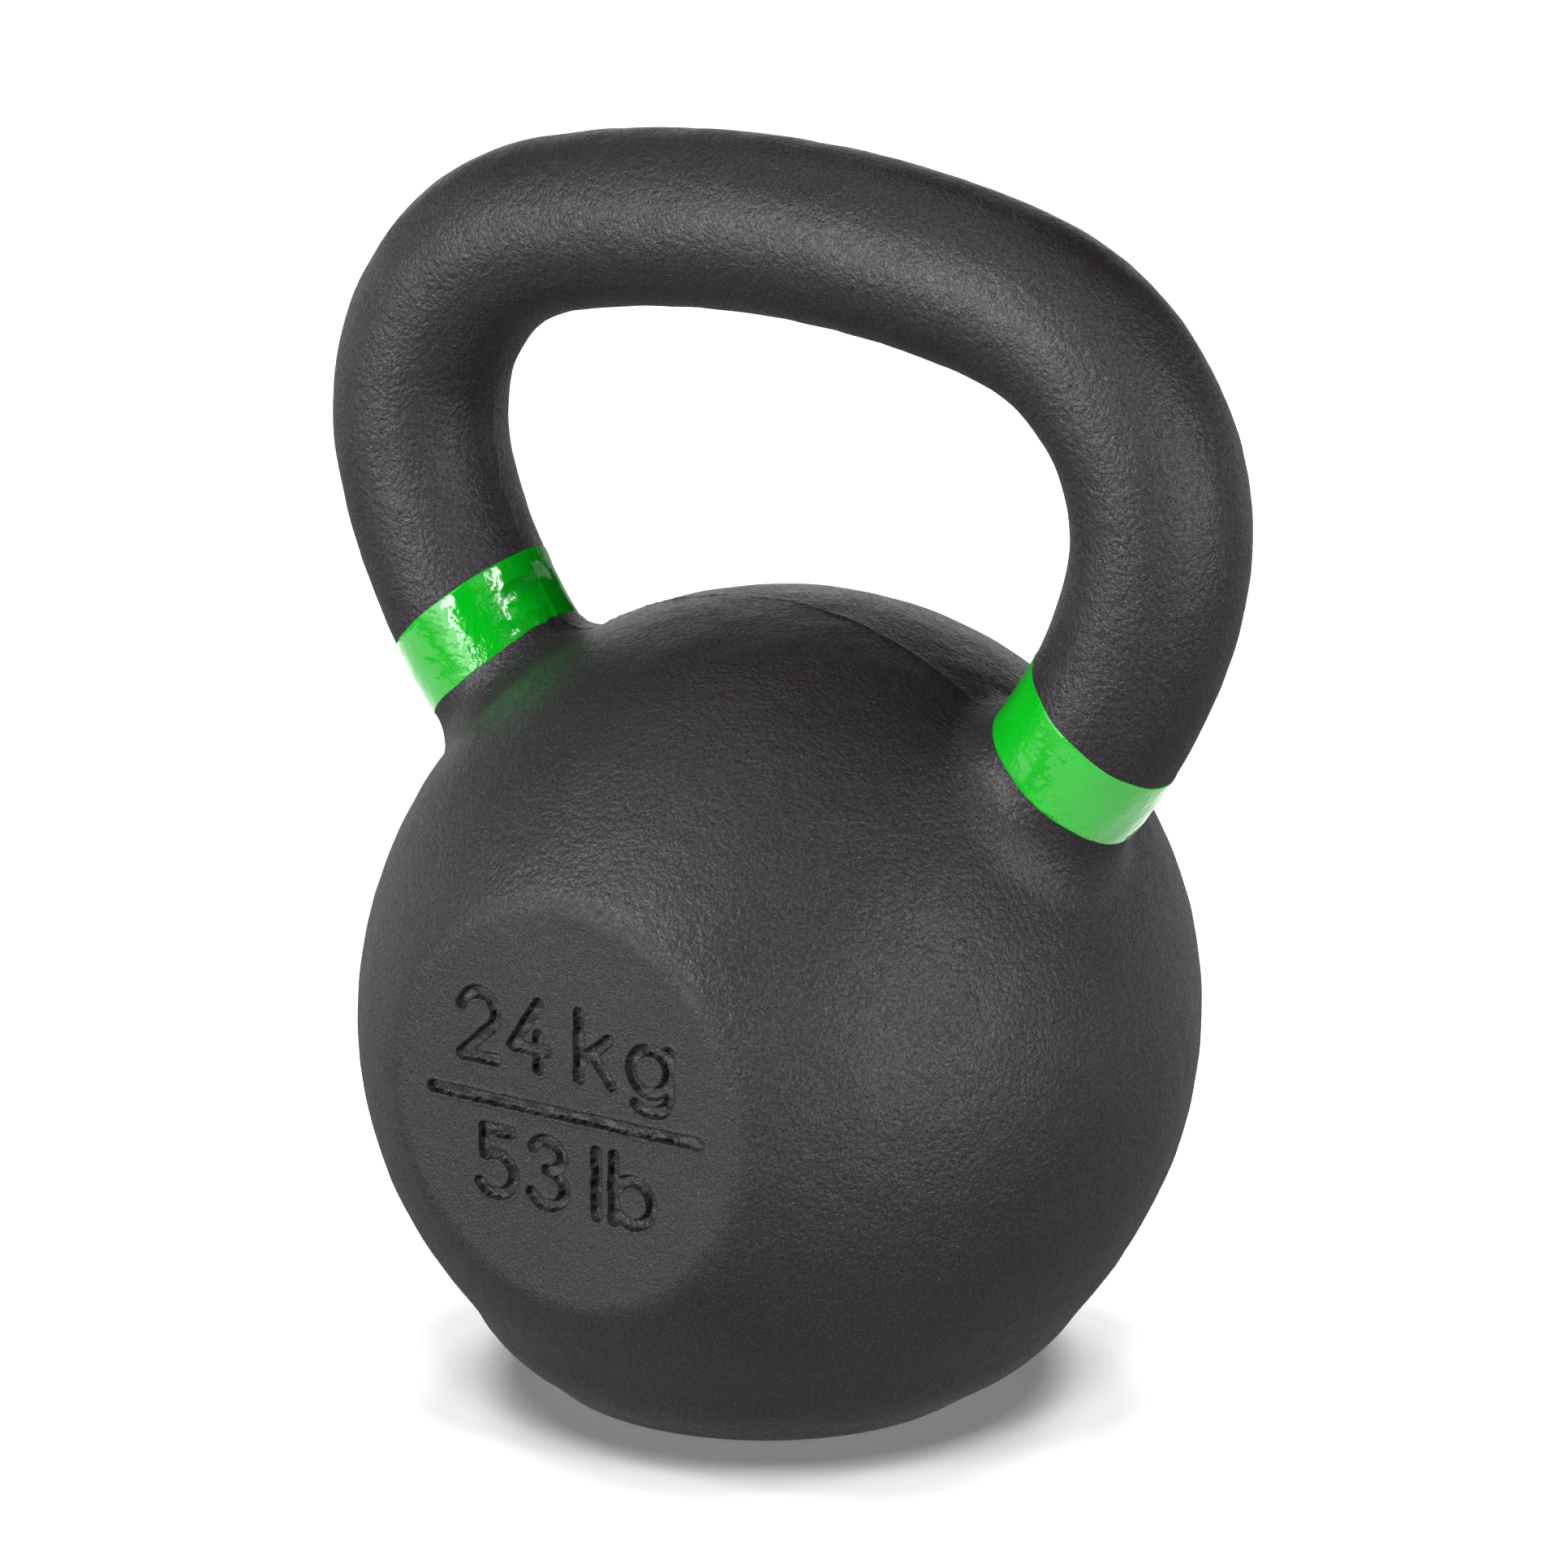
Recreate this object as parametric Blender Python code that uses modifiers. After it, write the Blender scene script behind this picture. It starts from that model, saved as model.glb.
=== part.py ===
"""Kettlebell: a one-piece iron casting with a vinyl colour band around each horn.

Metres, +Z up. The origin is the centre of the flat foot that the ball stands on.
The handle lies in the XZ plane, and the face with the weight mark looks towards -Y.
"""

import math

import bmesh
import bpy
from mathutils import Matrix

# Ball: an egg-round body that is a little deeper and taller than it is wide.
BALL_WIDTH = 0.1764
BALL_DEPTH = 0.1820
BALL_HEIGHT = 0.1794
BALL_CENTRE_Z = 0.0804
FACE_SPACING = 0.1594            # between the two flat faces, front and back
FOOT_RADIUS = 0.0425             # the ring that the ball stands on
FOOT_SHOULDER_RADIUS = 0.0520    # where the foot's cone runs into the ball
FOOT_SHOULDER_Z = 0.0085
FOOT_EDGE = 0.0012               # the foot's ground-off edge

# Handle: a round bar whose centreline is three bends, each running smoothly into the next.
GRIP_RADIUS = 0.0188
HANDLE_TOP_Z = 0.2494            # centreline at the middle of the grip
GRIP_BEND_RADIUS = 0.2330
CORNER_BEND_RADIUS = 0.0469
HORN_BEND_RADIUS = 0.1100
CORNER_START = 0.0570            # along the centreline, from the middle of the grip
CORNER_END = 0.1315
BEND_BLEND = 0.0100              # half the length over which one bend turns into the next
ROOT_FILLET = 0.0080             # where a horn flares into the ball
ROOT_FLARE_ANGLE = math.radians(65)
ROOT_OVERLAP = 0.0100            # how far a horn's bar runs on inside the ball

# Colour bands.
BAND_WIDTH = 0.0165
BAND_THICKNESS = 0.0004
BAND_GAP = 0.0003                # between a band and the bar under it
BAND_ABOVE_ROOT = 0.0010         # from the band's lower edge to the start of the fillet
BAND_LEAN = math.radians(7)      # from square across the bar, towards level with the ball below
RIGHT_BAND_SKEW = math.radians(4.5)  # the band at +X sits a little askew, higher at the front

# Weight mark: round-bottomed grooves in the front face.
STROKE_RADIUS = 0.00125
STROKE_RISE = 0.0003             # the strokes' centreline stands this far off the face
CROSSING_RISE = 0.00007          # more for each stroke, so grooves that meet share no edge
DIGIT_WIDTH = 0.0086
DIGIT_HEIGHT = 0.0140
UNIT_HEIGHT = 0.0094             # the height of a small letter
CHARACTER_GAP = 0.0042
WORD_GAP = 0.0078
BAR_LENGTH = 0.0660
UPPER_LINE_Z = 0.0880            # the line that the upper row of figures stands on
BAR_Z = 0.0795
LOWER_LINE_Z = 0.0590

BALL_SEGMENTS = 64
BAR_SEGMENTS = 32
BAR_STEP = 0.0065                # between the bar's cross-sections

SOLIDS = bpy.data.collections.new("kettlebell")
CUTTERS = bpy.data.collections.new("kettlebell_cutters")


def clear_scene():
    for old in list(bpy.data.objects):
        bpy.data.objects.remove(old, do_unlink=True)
    bpy.context.scene.collection.children.link(SOLIDS)
    bpy.context.scene.collection.children.link(CUTTERS)


def make_material(name, colour, roughness, metallic=0.0):
    material = bpy.data.materials.new(name)
    material.use_nodes = True
    shader = material.node_tree.nodes["Principled BSDF"]
    shader.inputs["Base Color"].default_value = (*colour, 1.0)
    shader.inputs["Roughness"].default_value = roughness
    shader.inputs["Metallic"].default_value = metallic
    return material


def add_object(name, mesh, collection):
    obj = bpy.data.objects.new(name, mesh)
    collection.objects.link(obj)
    if collection is CUTTERS:
        obj.hide_render = True
        obj.display_type = "WIRE"
    return obj


def apply_modifiers(obj):
    """Replace the object's mesh with its evaluated one, and drop its modifiers."""
    bpy.context.view_layer.update()
    evaluated = obj.evaluated_get(bpy.context.evaluated_depsgraph_get())
    mesh = bpy.data.meshes.new_from_object(evaluated)
    obj.modifiers.clear()
    obj.data = mesh


def mesh_from_curve(obj, name, collection):
    """Turn a bevelled curve into a closed mesh object and remove the curve."""
    bpy.context.view_layer.update()
    evaluated = obj.evaluated_get(bpy.context.evaluated_depsgraph_get())
    mesh = bpy.data.meshes.new_from_object(evaluated)
    work = bmesh.new()
    work.from_mesh(mesh)
    bmesh.ops.remove_doubles(work, verts=work.verts, dist=0.00001)
    bmesh.ops.recalc_face_normals(work, faces=work.faces)
    work.to_mesh(mesh)
    work.free()
    matrix = obj.matrix_world.copy()
    bpy.data.objects.remove(obj, do_unlink=True)
    result = add_object(name, mesh, collection)
    result.matrix_world = matrix
    return result


def combine(target, other, operation):
    """Add a Boolean of the other object, and make the other a cutter."""
    modifier = target.modifiers.new(other.name, "BOOLEAN")
    modifier.operation = operation
    modifier.object = other
    other.hide_render = True
    other.display_type = "WIRE"


# --- the handle's centreline ---

def smooth_step(value):
    t = min(max(value, 0.0), 1.0)
    return t * t * (3.0 - 2.0 * t)


def bend_curvature(along):
    to_corner = smooth_step((along - CORNER_START + BEND_BLEND) / (2.0 * BEND_BLEND))
    to_horn = smooth_step((along - CORNER_END + BEND_BLEND) / (2.0 * BEND_BLEND))
    grip, corner, horn = 1.0 / GRIP_BEND_RADIUS, 1.0 / CORNER_BEND_RADIUS, 1.0 / HORN_BEND_RADIUS
    return grip + (corner - grip) * to_corner + (horn - corner) * to_horn


def centreline_point(along):
    """X, Z and downward slope angle at a length from the middle of the grip, on the +X side."""
    steps = 400
    step = along / steps
    x, z, angle = 0.0, HANDLE_TOP_Z, 0.0
    for i in range(steps):
        middle = angle + 0.5 * step * bend_curvature((i + 0.25) * step)
        x += step * math.cos(middle)
        z -= step * math.sin(middle)
        angle += step * bend_curvature((i + 0.5) * step)
    return x, z, angle


def depth_in_ball(along, off_axis):
    """How far a point of the bar, off_axis to its side in Y, is inside the ball."""
    x, z, _ = centreline_point(along)
    scaled = math.hypot(x / BALL_WIDTH, off_axis / BALL_DEPTH, (z - BALL_CENTRE_Z) / BALL_HEIGHT)
    return (1.0 - 2.0 * scaled) * 0.5 * BALL_WIDTH


def length_to_ball(off_axis):
    """Length along the centreline at which that point of the bar meets the ball."""
    low, high = CORNER_END, 2.0 * CORNER_END
    for _ in range(30):
        middle = 0.5 * (low + high)
        if depth_in_ball(middle, off_axis) < 0.0:
            low = middle
        else:
            high = middle
    return high


FLARE_RUN = ROOT_FILLET * math.sin(ROOT_FLARE_ANGLE)
FLARE_RISE = ROOT_FILLET * (1.0 - math.cos(ROOT_FLARE_ANGLE))
FILLET_START = length_to_ball(GRIP_RADIUS + FLARE_RISE) - FLARE_RUN
BAND_MIDDLE = FILLET_START - BAND_ABOVE_ROOT - 0.5 * BAND_WIDTH


def bar_sections():
    """Length and radius at each cross-section of one half of the bar, from the grip's middle."""
    count = round(FILLET_START / BAR_STEP)
    sections = [(FILLET_START * i / count, GRIP_RADIUS) for i in range(count + 1)]
    for i in range(1, 6):
        angle = ROOT_FLARE_ANGLE * i / 5
        run = ROOT_FILLET * math.sin(angle)
        sections.append((FILLET_START + run, GRIP_RADIUS + ROOT_FILLET * (1.0 - math.cos(angle))))
    end_radius = GRIP_RADIUS + FLARE_RISE + 0.3 * ROOT_OVERLAP
    sections.append((FILLET_START + FLARE_RUN + ROOT_OVERLAP, end_radius))
    return sections


def make_tube(name, sections, radius, segments, capped=True, closed=False):
    """A bevelled poly curve; each section is x, y, z and the bar's radius there."""
    curve = bpy.data.curves.new(name, "CURVE")
    curve.dimensions = "3D"
    curve.twist_mode = "MINIMUM"
    curve.bevel_depth = radius
    curve.bevel_resolution = (segments - 4) // 2
    curve.use_fill_caps = capped
    spline = curve.splines.new("POLY")
    spline.points.add(len(sections) - 1)
    spline.use_cyclic_u = closed
    for point, (x, y, z, section_radius) in zip(spline.points, sections):
        point.co = (x, y, z, 1.0)
        point.radius = section_radius / radius
    return add_object(name, curve, CUTTERS)


# --- the casting ---

def make_ball():
    """The ball turned about Y between its two flat faces, then closed and made taller."""
    half_face = 0.5 * FACE_SPACING
    start = math.asin(2.0 * half_face / BALL_DEPTH)
    rings = BALL_SEGMENTS // 3
    profile = bmesh.new()
    corners = []
    for i in range(rings + 1):
        angle = start - 2.0 * start * i / rings
        radius = 0.5 * BALL_WIDTH * math.cos(angle)
        corners.append(profile.verts.new((radius, 0.0, 0.5 * BALL_DEPTH * math.sin(angle))))
    for first, second in zip(corners, corners[1:]):
        profile.edges.new((first, second))
    mesh = bpy.data.meshes.new("ball")
    profile.to_mesh(mesh)
    profile.free()
    ball = add_object("ball", mesh, CUTTERS)
    turn = ball.modifiers.new("turn", "SCREW")
    turn.steps = BALL_SEGMENTS
    turn.render_steps = BALL_SEGMENTS
    turn.use_merge_vertices = True
    turn.merge_threshold = 0.00001
    apply_modifiers(ball)
    work = bmesh.new()
    work.from_mesh(ball.data)
    bmesh.ops.holes_fill(work, edges=work.edges, sides=BALL_SEGMENTS)
    bmesh.ops.recalc_face_normals(work, faces=work.faces)
    bmesh.ops.rotate(work, verts=work.verts, matrix=Matrix.Rotation(math.radians(90), 3, "X"))
    bmesh.ops.scale(work, verts=work.verts, vec=(1.0, 1.0, BALL_HEIGHT / BALL_WIDTH))
    work.to_mesh(ball.data)
    work.free()
    ball.location.z = BALL_CENTRE_Z
    return ball


def make_foot():
    """The foot's cone and its chamfered edge, which runs on below the ground plane."""
    outline = [
        (0.0, FOOT_SHOULDER_Z),
        (FOOT_SHOULDER_RADIUS, FOOT_SHOULDER_Z),
        (FOOT_RADIUS, FOOT_EDGE),
        (FOOT_RADIUS - 2.0 * FOOT_EDGE, -FOOT_EDGE),
        (0.0, -FOOT_EDGE),
    ]
    profile = bmesh.new()
    corners = [profile.verts.new((radius, 0.0, z)) for radius, z in outline]
    for first, second in zip(corners, corners[1:]):
        profile.edges.new((first, second))
    mesh = bpy.data.meshes.new("foot")
    profile.to_mesh(mesh)
    profile.free()
    foot = add_object("foot", mesh, CUTTERS)
    turn = foot.modifiers.new("turn", "SCREW")
    turn.steps = BALL_SEGMENTS
    turn.render_steps = BALL_SEGMENTS
    turn.use_merge_vertices = True
    turn.merge_threshold = 0.00001
    return foot


def make_handle():
    """The whole bar, from inside the ball on one side to inside the ball on the other."""
    half = [(*centreline_point(along)[:2], radius) for along, radius in bar_sections()]
    path = [(-x, 0.0, z, radius) for x, z, radius in reversed(half[1:])]
    path += [(x, 0.0, z, radius) for x, z, radius in half]
    tube = make_tube("handle_curve", path, GRIP_RADIUS, BAR_SEGMENTS)
    return mesh_from_curve(tube, "handle", CUTTERS)


# --- the weight mark ---

def arc(x, z, radius_x, radius_z, start, end, count=9):
    """Points of an elliptical arc from one angle to another, in degrees from +X to +Z."""
    angles = [math.radians(start + (end - start) * i / (count - 1)) for i in range(count)]
    return [(x + radius_x * math.cos(a), z + radius_z * math.sin(a)) for a in angles]


def figure_two():
    w, h = DIGIT_WIDTH, DIGIT_HEIGHT
    top = 0.5 * w
    return w, [arc(top, h - top, top, top, 165, -38) + [(0.0, 0.0), (w, 0.0)]]


def figure_three():
    w, h = DIGIT_WIDTH, DIGIT_HEIGHT
    upper = arc(0.48 * w, 0.77 * h, 0.44 * w, 0.23 * h, 155, -90)
    lower = arc(0.48 * w, 0.27 * h, 0.52 * w, 0.27 * h, 90, -155)
    return w, [upper, lower]


def figure_four():
    w, h = DIGIT_WIDTH, DIGIT_HEIGHT
    stem = 0.74 * w
    return w, [[(stem, h), (0.0, 0.30 * h), (w, 0.30 * h)], [(stem, 0.52 * h), (stem, 0.0)]]


def figure_five():
    w, h = DIGIT_WIDTH, DIGIT_HEIGHT
    bowl = arc(0.46 * w, 0.32 * h, 0.54 * w, 0.32 * h, 125, -145)
    return w, [[(0.92 * w, h), (0.14 * w, h)] + bowl]


def letter_k():
    w, h = DIGIT_WIDTH, DIGIT_HEIGHT
    waist = 0.36 * UNIT_HEIGHT
    arm = [(0.86 * w, UNIT_HEIGHT), (0.0, waist)]
    leg = [(0.36 * w, waist + 0.27 * UNIT_HEIGHT), (0.92 * w, 0.0)]
    return w, [[(0.0, h), (0.0, 0.0)], arm, leg]


def letter_g():
    bowl = 0.5 * UNIT_HEIGHT
    tail = 0.34 * UNIT_HEIGHT
    hook = arc(bowl, -tail + bowl * 0.55, bowl, bowl * 0.72, 0, -140)
    ring = arc(bowl, bowl, bowl, bowl, 0, 360, 21)
    return UNIT_HEIGHT, [ring, [(UNIT_HEIGHT, UNIT_HEIGHT)] + hook]


def letter_l():
    return 0.0, [[(0.0, DIGIT_HEIGHT), (0.0, 0.0)]]


def letter_b():
    bowl = 0.5 * UNIT_HEIGHT
    ring = arc(bowl, bowl, bowl, bowl, 180, 540, 21)
    return UNIT_HEIGHT, [[(0.0, DIGIT_HEIGHT), (0.0, 0.0)], ring]


def line_of_mark(base_z, words):
    """Strokes of one centred row of characters; each word is a list of glyph functions."""
    strokes = []
    x = 0.0
    for word in words:
        for width, outlines in (glyph() for glyph in word):
            strokes += [[(x + px, base_z + pz) for px, pz in outline] for outline in outlines]
            x += width + CHARACTER_GAP
        x += WORD_GAP - CHARACTER_GAP
    half = 0.5 * (x - WORD_GAP)
    return [[(px - half, pz) for px, pz in stroke] for stroke in strokes]


def stroke_sections(stroke, rise, closed):
    """Sections of a stroke in the front face, with a round tip at each end of an open one."""
    if closed:
        stroke = stroke[:-1]
    radii = [STROKE_RADIUS] * len(stroke)
    for tip, inner in () if closed else ((0, 1), (-1, -2)):
        (x, z), (inner_x, inner_z) = stroke[tip], stroke[inner]
        length = math.hypot(x - inner_x, z - inner_z)
        run = 0.75 * STROKE_RADIUS / length
        beyond = (x + (x - inner_x) * run, z + (z - inner_z) * run)
        at = 0 if tip == 0 else len(stroke)
        stroke = stroke[:at] + [beyond] + stroke[at:]
        radii = radii[:at] + [0.62 * STROKE_RADIUS] + radii[at:]
    face_y = -0.5 * FACE_SPACING - rise
    return [(x, face_y, z, radius) for (x, z), radius in zip(stroke, radii)]


def make_mark():
    """One closed tube for each stroke of the weight mark."""
    strokes = line_of_mark(UPPER_LINE_Z, [[figure_two, figure_four], [letter_k, letter_g]])
    strokes += [[(-0.5 * BAR_LENGTH, BAR_Z), (0.5 * BAR_LENGTH, BAR_Z)]]
    strokes += line_of_mark(LOWER_LINE_Z, [[figure_five, figure_three], [letter_l, letter_b]])
    cutters = []
    for number, stroke in enumerate(strokes):
        closed = math.dist(stroke[0], stroke[-1]) < 0.1 * STROKE_RADIUS
        rise = STROKE_RISE + CROSSING_RISE * (number % 3)
        sections = stroke_sections(stroke, rise, closed)
        curve = make_tube(f"stroke_curve_{number}", sections, STROKE_RADIUS, 8, closed=closed)
        cutters.append(mesh_from_curve(curve, f"mark_stroke_{number}", CUTTERS))
    return cutters


def make_ground():
    """A block whose top is the plane that the foot stands on."""
    mesh = bpy.data.meshes.new("ground")
    work = bmesh.new()
    bmesh.ops.create_cube(work, size=BALL_WIDTH)
    work.to_mesh(mesh)
    work.free()
    ground = add_object("ground", mesh, CUTTERS)
    ground.location.z = -0.5 * BALL_WIDTH
    return ground


def make_casting(material):
    casting = make_ball()
    casting.name = "casting"
    CUTTERS.objects.unlink(casting)
    SOLIDS.objects.link(casting)
    casting.hide_render = False
    casting.display_type = "TEXTURED"
    combine(casting, make_foot(), "UNION")
    combine(casting, make_ground(), "DIFFERENCE")
    combine(casting, make_handle(), "UNION")
    for stroke in make_mark():
        combine(casting, stroke, "DIFFERENCE")
    casting.data.materials.append(material)
    return casting


# --- the colour bands ---

def make_band_slab(name, side):
    """A block whose two large faces are the planes of the band's edges."""
    mesh = bpy.data.meshes.new(name)
    work = bmesh.new()
    bmesh.ops.create_cube(work, size=1.0)
    bmesh.ops.scale(work, verts=work.verts, vec=(4.0 * GRIP_RADIUS, 4.0 * GRIP_RADIUS, BAND_WIDTH))
    work.to_mesh(mesh)
    work.free()
    slab = add_object(name, mesh, CUTTERS)
    x, z, angle = centreline_point(BAND_MIDDLE)
    slab.location = (side * x, 0.0, z)
    slab.rotation_euler.y = side * (angle + BAND_LEAN + math.radians(90))
    if side > 0.0:
        slab.rotation_euler.x = RIGHT_BAND_SKEW
    return slab


def make_band(name, side, material):
    """A short stretch of thin tube around one horn, cut off by two parallel planes."""
    inner = GRIP_RADIUS + BAND_GAP
    spacing = BAND_WIDTH / 5
    stations = [BAND_MIDDLE + spacing * i for i in range(-4, 5)]
    path = [(side * x, 0.0, z, inner) for x, z, _ in map(centreline_point, stations)]
    tube = make_tube(f"{name}_curve", path, inner, BAR_SEGMENTS, capped=False)
    band = mesh_from_curve(tube, name, SOLIDS)
    wrap = band.modifiers.new("thickness", "SOLIDIFY")
    wrap.thickness = BAND_THICKNESS
    wrap.offset = 1.0
    combine(band, make_band_slab(f"{name}_slab", side), "INTERSECT")
    band.data.materials.append(material)
    return band


def shade_round(obj):
    for polygon in obj.data.polygons:
        polygon.use_smooth = True
    obj.data.set_sharp_from_angle(angle=math.radians(30))


def main():
    clear_scene()
    iron = make_material("powder_coated_iron", (0.045, 0.042, 0.044), 0.55)
    vinyl = make_material("green_vinyl", (0.03, 0.42, 0.035), 0.22)
    shade_round(make_casting(iron))
    shade_round(make_band("band_left", -1.0, vinyl))
    shade_round(make_band("band_right", 1.0, vinyl))


main()
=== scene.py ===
"""Looks of the kettlebell: one powder-coated iron casting with a glossy green band on each horn.

Metres, +Z up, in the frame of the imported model: the foot's centre is the origin, the handle
lies in the XZ plane and the face with the weight mark looks towards -Y.
"""

import math

import bmesh
import bpy
import numpy as np
from mathutils import Matrix, Vector


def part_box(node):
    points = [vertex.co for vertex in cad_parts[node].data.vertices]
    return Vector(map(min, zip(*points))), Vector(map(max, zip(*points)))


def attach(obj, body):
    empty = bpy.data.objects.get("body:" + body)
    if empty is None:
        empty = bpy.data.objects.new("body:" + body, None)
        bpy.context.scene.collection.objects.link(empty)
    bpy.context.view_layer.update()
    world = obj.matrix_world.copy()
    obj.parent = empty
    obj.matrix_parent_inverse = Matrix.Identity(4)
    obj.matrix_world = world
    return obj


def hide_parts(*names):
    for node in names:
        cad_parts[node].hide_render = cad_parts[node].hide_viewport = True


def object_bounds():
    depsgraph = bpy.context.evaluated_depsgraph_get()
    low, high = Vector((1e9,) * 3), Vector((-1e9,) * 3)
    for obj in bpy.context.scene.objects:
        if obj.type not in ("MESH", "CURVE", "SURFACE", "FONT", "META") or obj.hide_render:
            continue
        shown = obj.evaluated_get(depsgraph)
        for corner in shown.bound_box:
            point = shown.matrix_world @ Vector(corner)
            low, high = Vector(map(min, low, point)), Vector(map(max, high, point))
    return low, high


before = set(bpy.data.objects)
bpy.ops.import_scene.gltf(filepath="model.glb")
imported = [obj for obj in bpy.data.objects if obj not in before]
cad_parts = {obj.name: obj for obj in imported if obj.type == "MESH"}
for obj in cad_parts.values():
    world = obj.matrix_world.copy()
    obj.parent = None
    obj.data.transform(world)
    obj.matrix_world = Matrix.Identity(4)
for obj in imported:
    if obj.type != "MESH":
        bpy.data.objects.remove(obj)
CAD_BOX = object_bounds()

_, CASTING_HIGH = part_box("casting")

# Ball, flats and foot.
BALL_WIDTH = 0.1764
BALL_DEPTH = 0.1820
BALL_HEIGHT = 0.1794
BALL_CENTRE_Z = 0.0804
HALF_FACE_SPACING = CASTING_HIGH.y
FACE_RIM_RADIUS = 0.0011
FOOT_RADIUS = 0.0446
FOOT_SHOULDER_RADIUS = 0.0604    # the ball is a little fuller above the foot than its ellipse
FOOT_SHOULDER_Z = 0.0107
FOOT_SHOULDER_EASE = 0.0030      # how far the bend at the shoulder is spread
FLARE_RADIUS = 0.0733            # here the fuller part has run into the ball
FLARE_Z = 0.0306
FOOT_BLEND = 0.0010              # fillet between the foot's cones and the ball
FOOT_SHIFT = (-0.0024, -0.0020)  # the foot was cast a little off centre
FOOT_EDGE = 0.0012

# Handle: three bends that run into each other; lengths are along the centreline.
GRIP_RADIUS = 0.0188
HANDLE_TOP_Z = CASTING_HIGH.z - GRIP_RADIUS
GRIP_BEND_RADIUS = 0.2330
CORNER_BEND_RADIUS = 0.0469
HORN_BEND_RADIUS = 0.1100
CORNER_START = 0.0570
CORNER_END = 0.1315
BEND_BLEND = 0.0100
HORN_END = 0.1950
ROOT_FILLET = 0.0080

# Bands.
BAND_WIDTH = 0.0165
BAND_MIDDLE = 0.1688
BAND_LEAN = math.radians(7)
RIGHT_BAND_SKEW = math.radians(4.5)
BAND_THICKNESS = 0.00016
BAND_EDGE_SHARE = 0.48           # the share of the width where the rounded edge starts

# Weight mark.
DIGIT_WIDTH = 0.0086
DIGIT_HEIGHT = 0.0140
UNIT_HEIGHT = 0.0094
CHARACTER_GAP = 0.0042
WORD_GAP = 0.0078
BAR_LENGTH = 0.0660
UPPER_LINE_Z = 0.0880
BAR_Z = 0.0795
LOWER_LINE_Z = 0.0590
GROOVE_DEPTH = 0.0014
GROOVE_FLOOR = 0.00088           # half-width of the groove's floor
GROOVE_EDGE = 0.00130            # half-width at the face
GROOVE_PAINTED_SHADE_BAND = (0.00112, 0.00028)  # middle and spread of the painted shade on the groove's wall, a dark band standing in for shade in the recess
LIP_HEIGHT = 0.00007             # the skin is drawn in a little beside a groove
LIP_OUT = 0.0004
LIP_SPREAD = 0.0003

# Parting line of the mould, in the plane of the handle.
SEAM_HEIGHT = 0.00028
SEAM_HALF_WIDTH = 0.0005

# Skin mesh: the spacing of its points, and how often an edge is split where detail is fine.
SKIN_SPACING = 0.0022
MARK_CUTS = 7
EDGE_CUTS = 3
SKIN_INSET = 0.00025
NEAR_EDGE = 0.0018               # how far from an edge the mesh is split
NEAR_RIM = 0.0020

# Camera.
CAMERA_AZIMUTH = math.radians(33.54)
CAMERA_ELEVATION = math.radians(17.09)
CAMERA_ROLL = math.radians(0.14)
CAMERA_DISTANCE = 1.9456
CAMERA_AIM = Vector((0.00048, 0.00044, 0.12979))
CAMERA_LENS = 213.71
SENSOR = 36.0

# Floor and lamps.
FLOOR_GAP = 0.0001
LAMP_DISTANCE = 1.8
LAMP_AIM_Z = 0.12
FLOOR_GLOW = 0.50                # light from the far floor, just under the horizon
FLOOR_BOUNCE = 0.23              # light from the floor nearer the foot
FLOOR_LIFT = 0.18                # keeps the contact shadow a soft grey

# Colours.
IRON_DARK = (0.0250, 0.0208, 0.0250)
IRON_PALE = (0.0305, 0.0256, 0.0305)
IRON_GRAIN_DARK = (0.0165, 0.0138, 0.0165)
IRON_GRAIN_PALE = (0.0440, 0.0380, 0.0440)
IRON_SPECK = (0.22, 0.21, 0.21)
# Painted shade: near-black colour for the groove walls of the mark, standing in for the shade in
# the recess.
GROOVE_PAINTED_SHADE_COLOUR = (0.0030, 0.0025, 0.0030)
GREEN_DEEP = (0.0020, 0.50, 0.013)
GREEN_PALE = (0.0024, 0.55, 0.015)


# --- the centreline of the handle ---

def smooth_step(value):
    t = np.clip(value, 0.0, 1.0)
    return t * t * (3.0 - 2.0 * t)


def make_centreline(count=1024):
    """Lengths, points (X, Z) and tangents along the +X half of the handle's centreline."""
    along = np.linspace(0.0, HORN_END, count)
    to_corner = smooth_step((along - CORNER_START + BEND_BLEND) / (2.0 * BEND_BLEND))
    to_horn = smooth_step((along - CORNER_END + BEND_BLEND) / (2.0 * BEND_BLEND))
    grip, corner, horn = 1.0 / GRIP_BEND_RADIUS, 1.0 / CORNER_BEND_RADIUS, 1.0 / HORN_BEND_RADIUS
    curvature = grip + (corner - grip) * to_corner + (horn - corner) * to_horn
    step = along[1]

    def running_sum(values):
        return np.concatenate([[0.0], np.cumsum(0.5 * (values[1:] + values[:-1])) * step])

    slope = running_sum(curvature)
    tangents = np.stack([np.cos(slope), -np.sin(slope)], axis=1)
    heights = HANDLE_TOP_Z + running_sum(tangents[:, 1])
    points = np.stack([running_sum(tangents[:, 0]), heights], axis=1)
    return along, points, tangents


ALONG, CENTRELINE, TANGENTS = make_centreline()


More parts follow.
